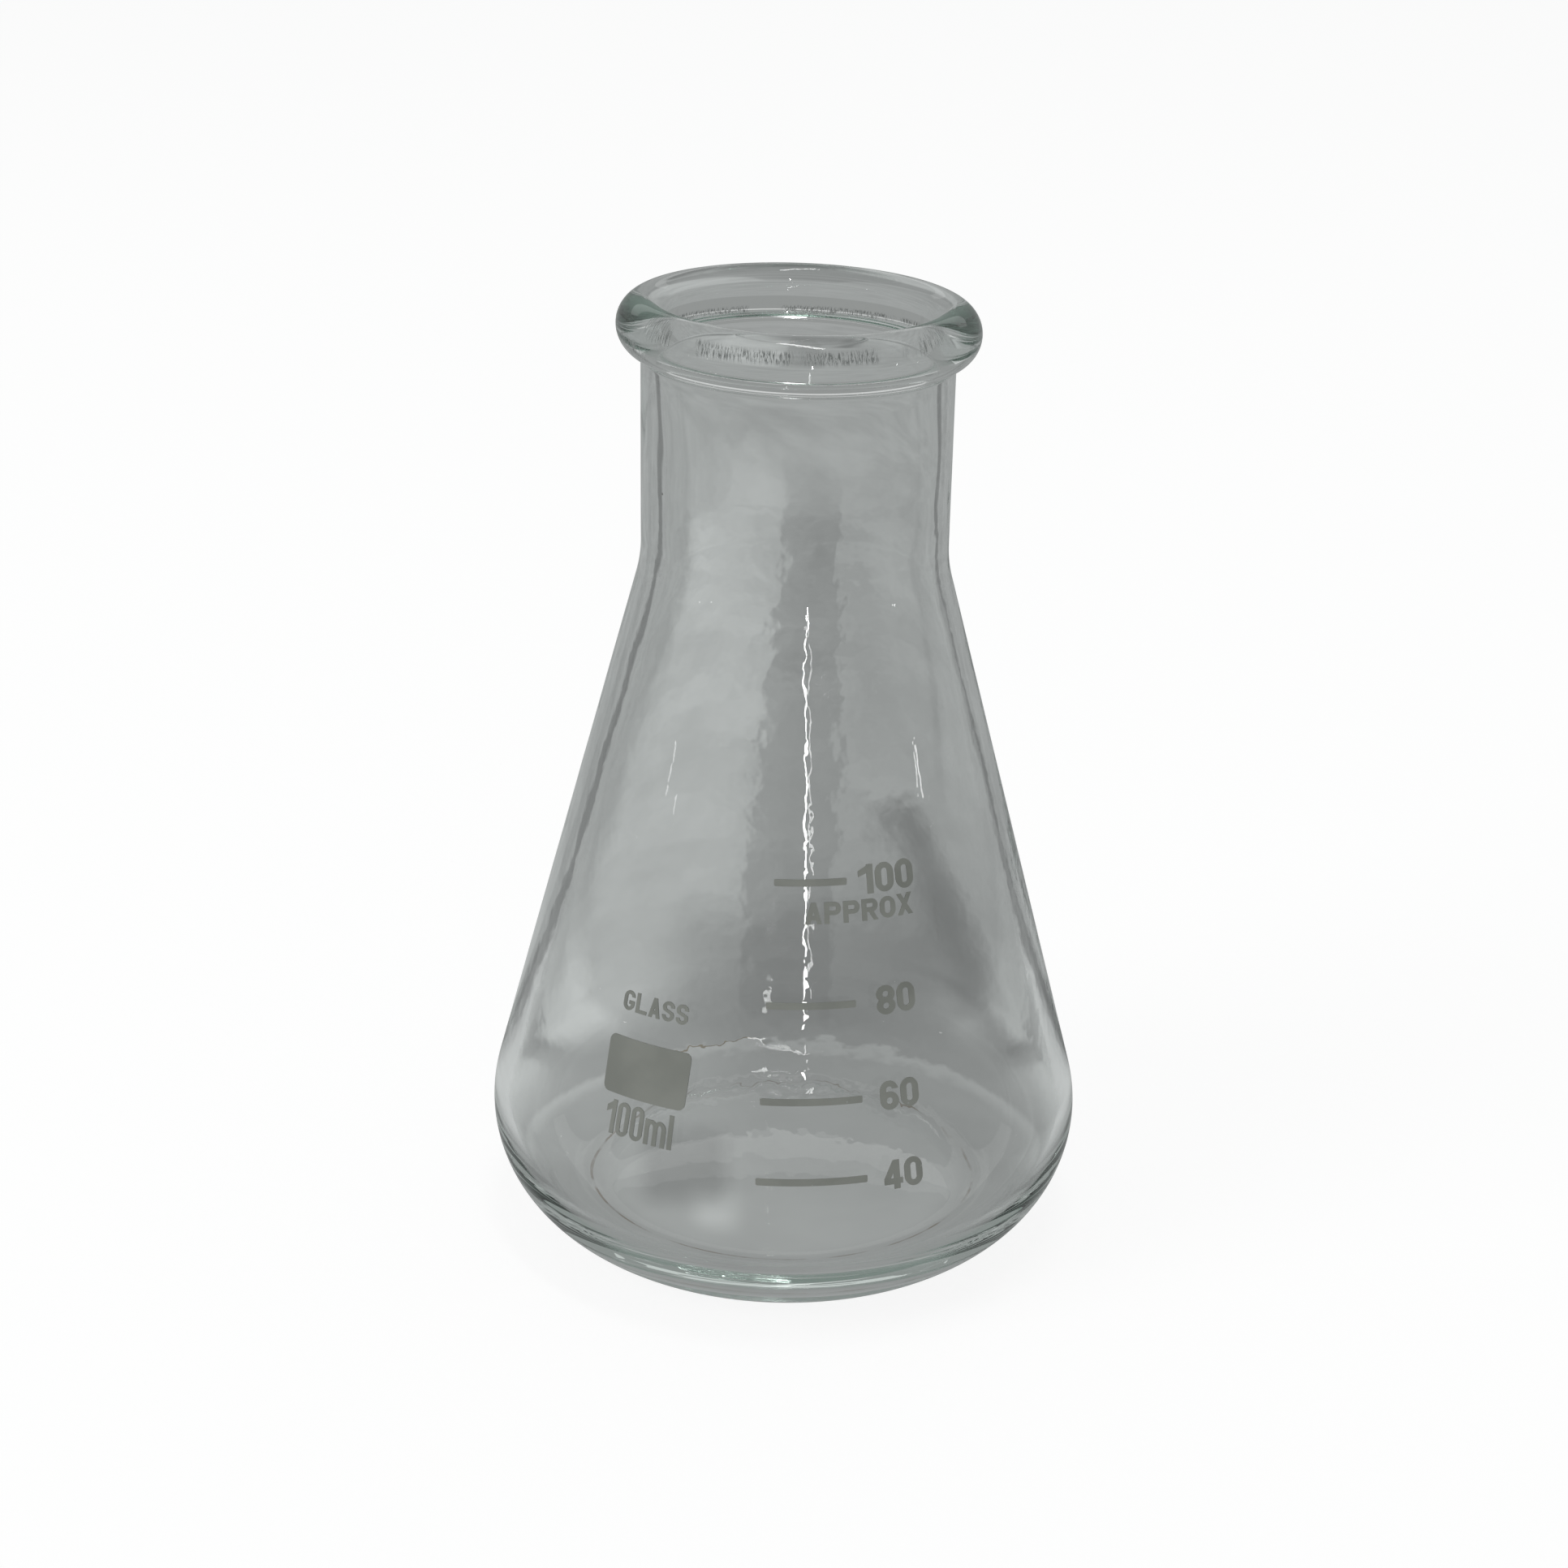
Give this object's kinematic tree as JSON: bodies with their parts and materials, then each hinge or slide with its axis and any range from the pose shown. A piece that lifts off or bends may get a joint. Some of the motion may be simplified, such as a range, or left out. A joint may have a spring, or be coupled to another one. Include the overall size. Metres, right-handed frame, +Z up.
{
  "type": "erlenmeyer flask",
  "caption": "Small wide-neck conical laboratory flask of clear glass with a rolled rim, heavy rounded heel and a fired-on volume scale.",
  "frame": {"origin": "centre of the flat land the flask stands on, at table height", "axes": "+Z up along the axis of the flask; -Y towards the middle of the volume scale; +X to the right of the scale, where its numerals are"},
  "size_m": [0.065, 0.065, 0.1026],
  "materials": {
    "glass": "clear blown borosilicate glass, faintly green in its thick edges",
    "enamel": "thin fired-on grey enamel print, slightly translucent and matt"
  },
  "bodies": {
    "root": {"flask_body": "glass", "graduation_line_40": "enamel", "graduation_line_60": "enamel", "graduation_line_80": "enamel", "graduation_line_100": "enamel", "graduation_numeral_40": "enamel", "graduation_numeral_60": "enamel", "graduation_numeral_80": "enamel", "graduation_numeral_100": "enamel", "approx_lettering": "enamel", "marking_spot": "enamel", "capacity_lettering": "enamel", "glass_type_lettering": "enamel"}
  },
  "joints": []
}
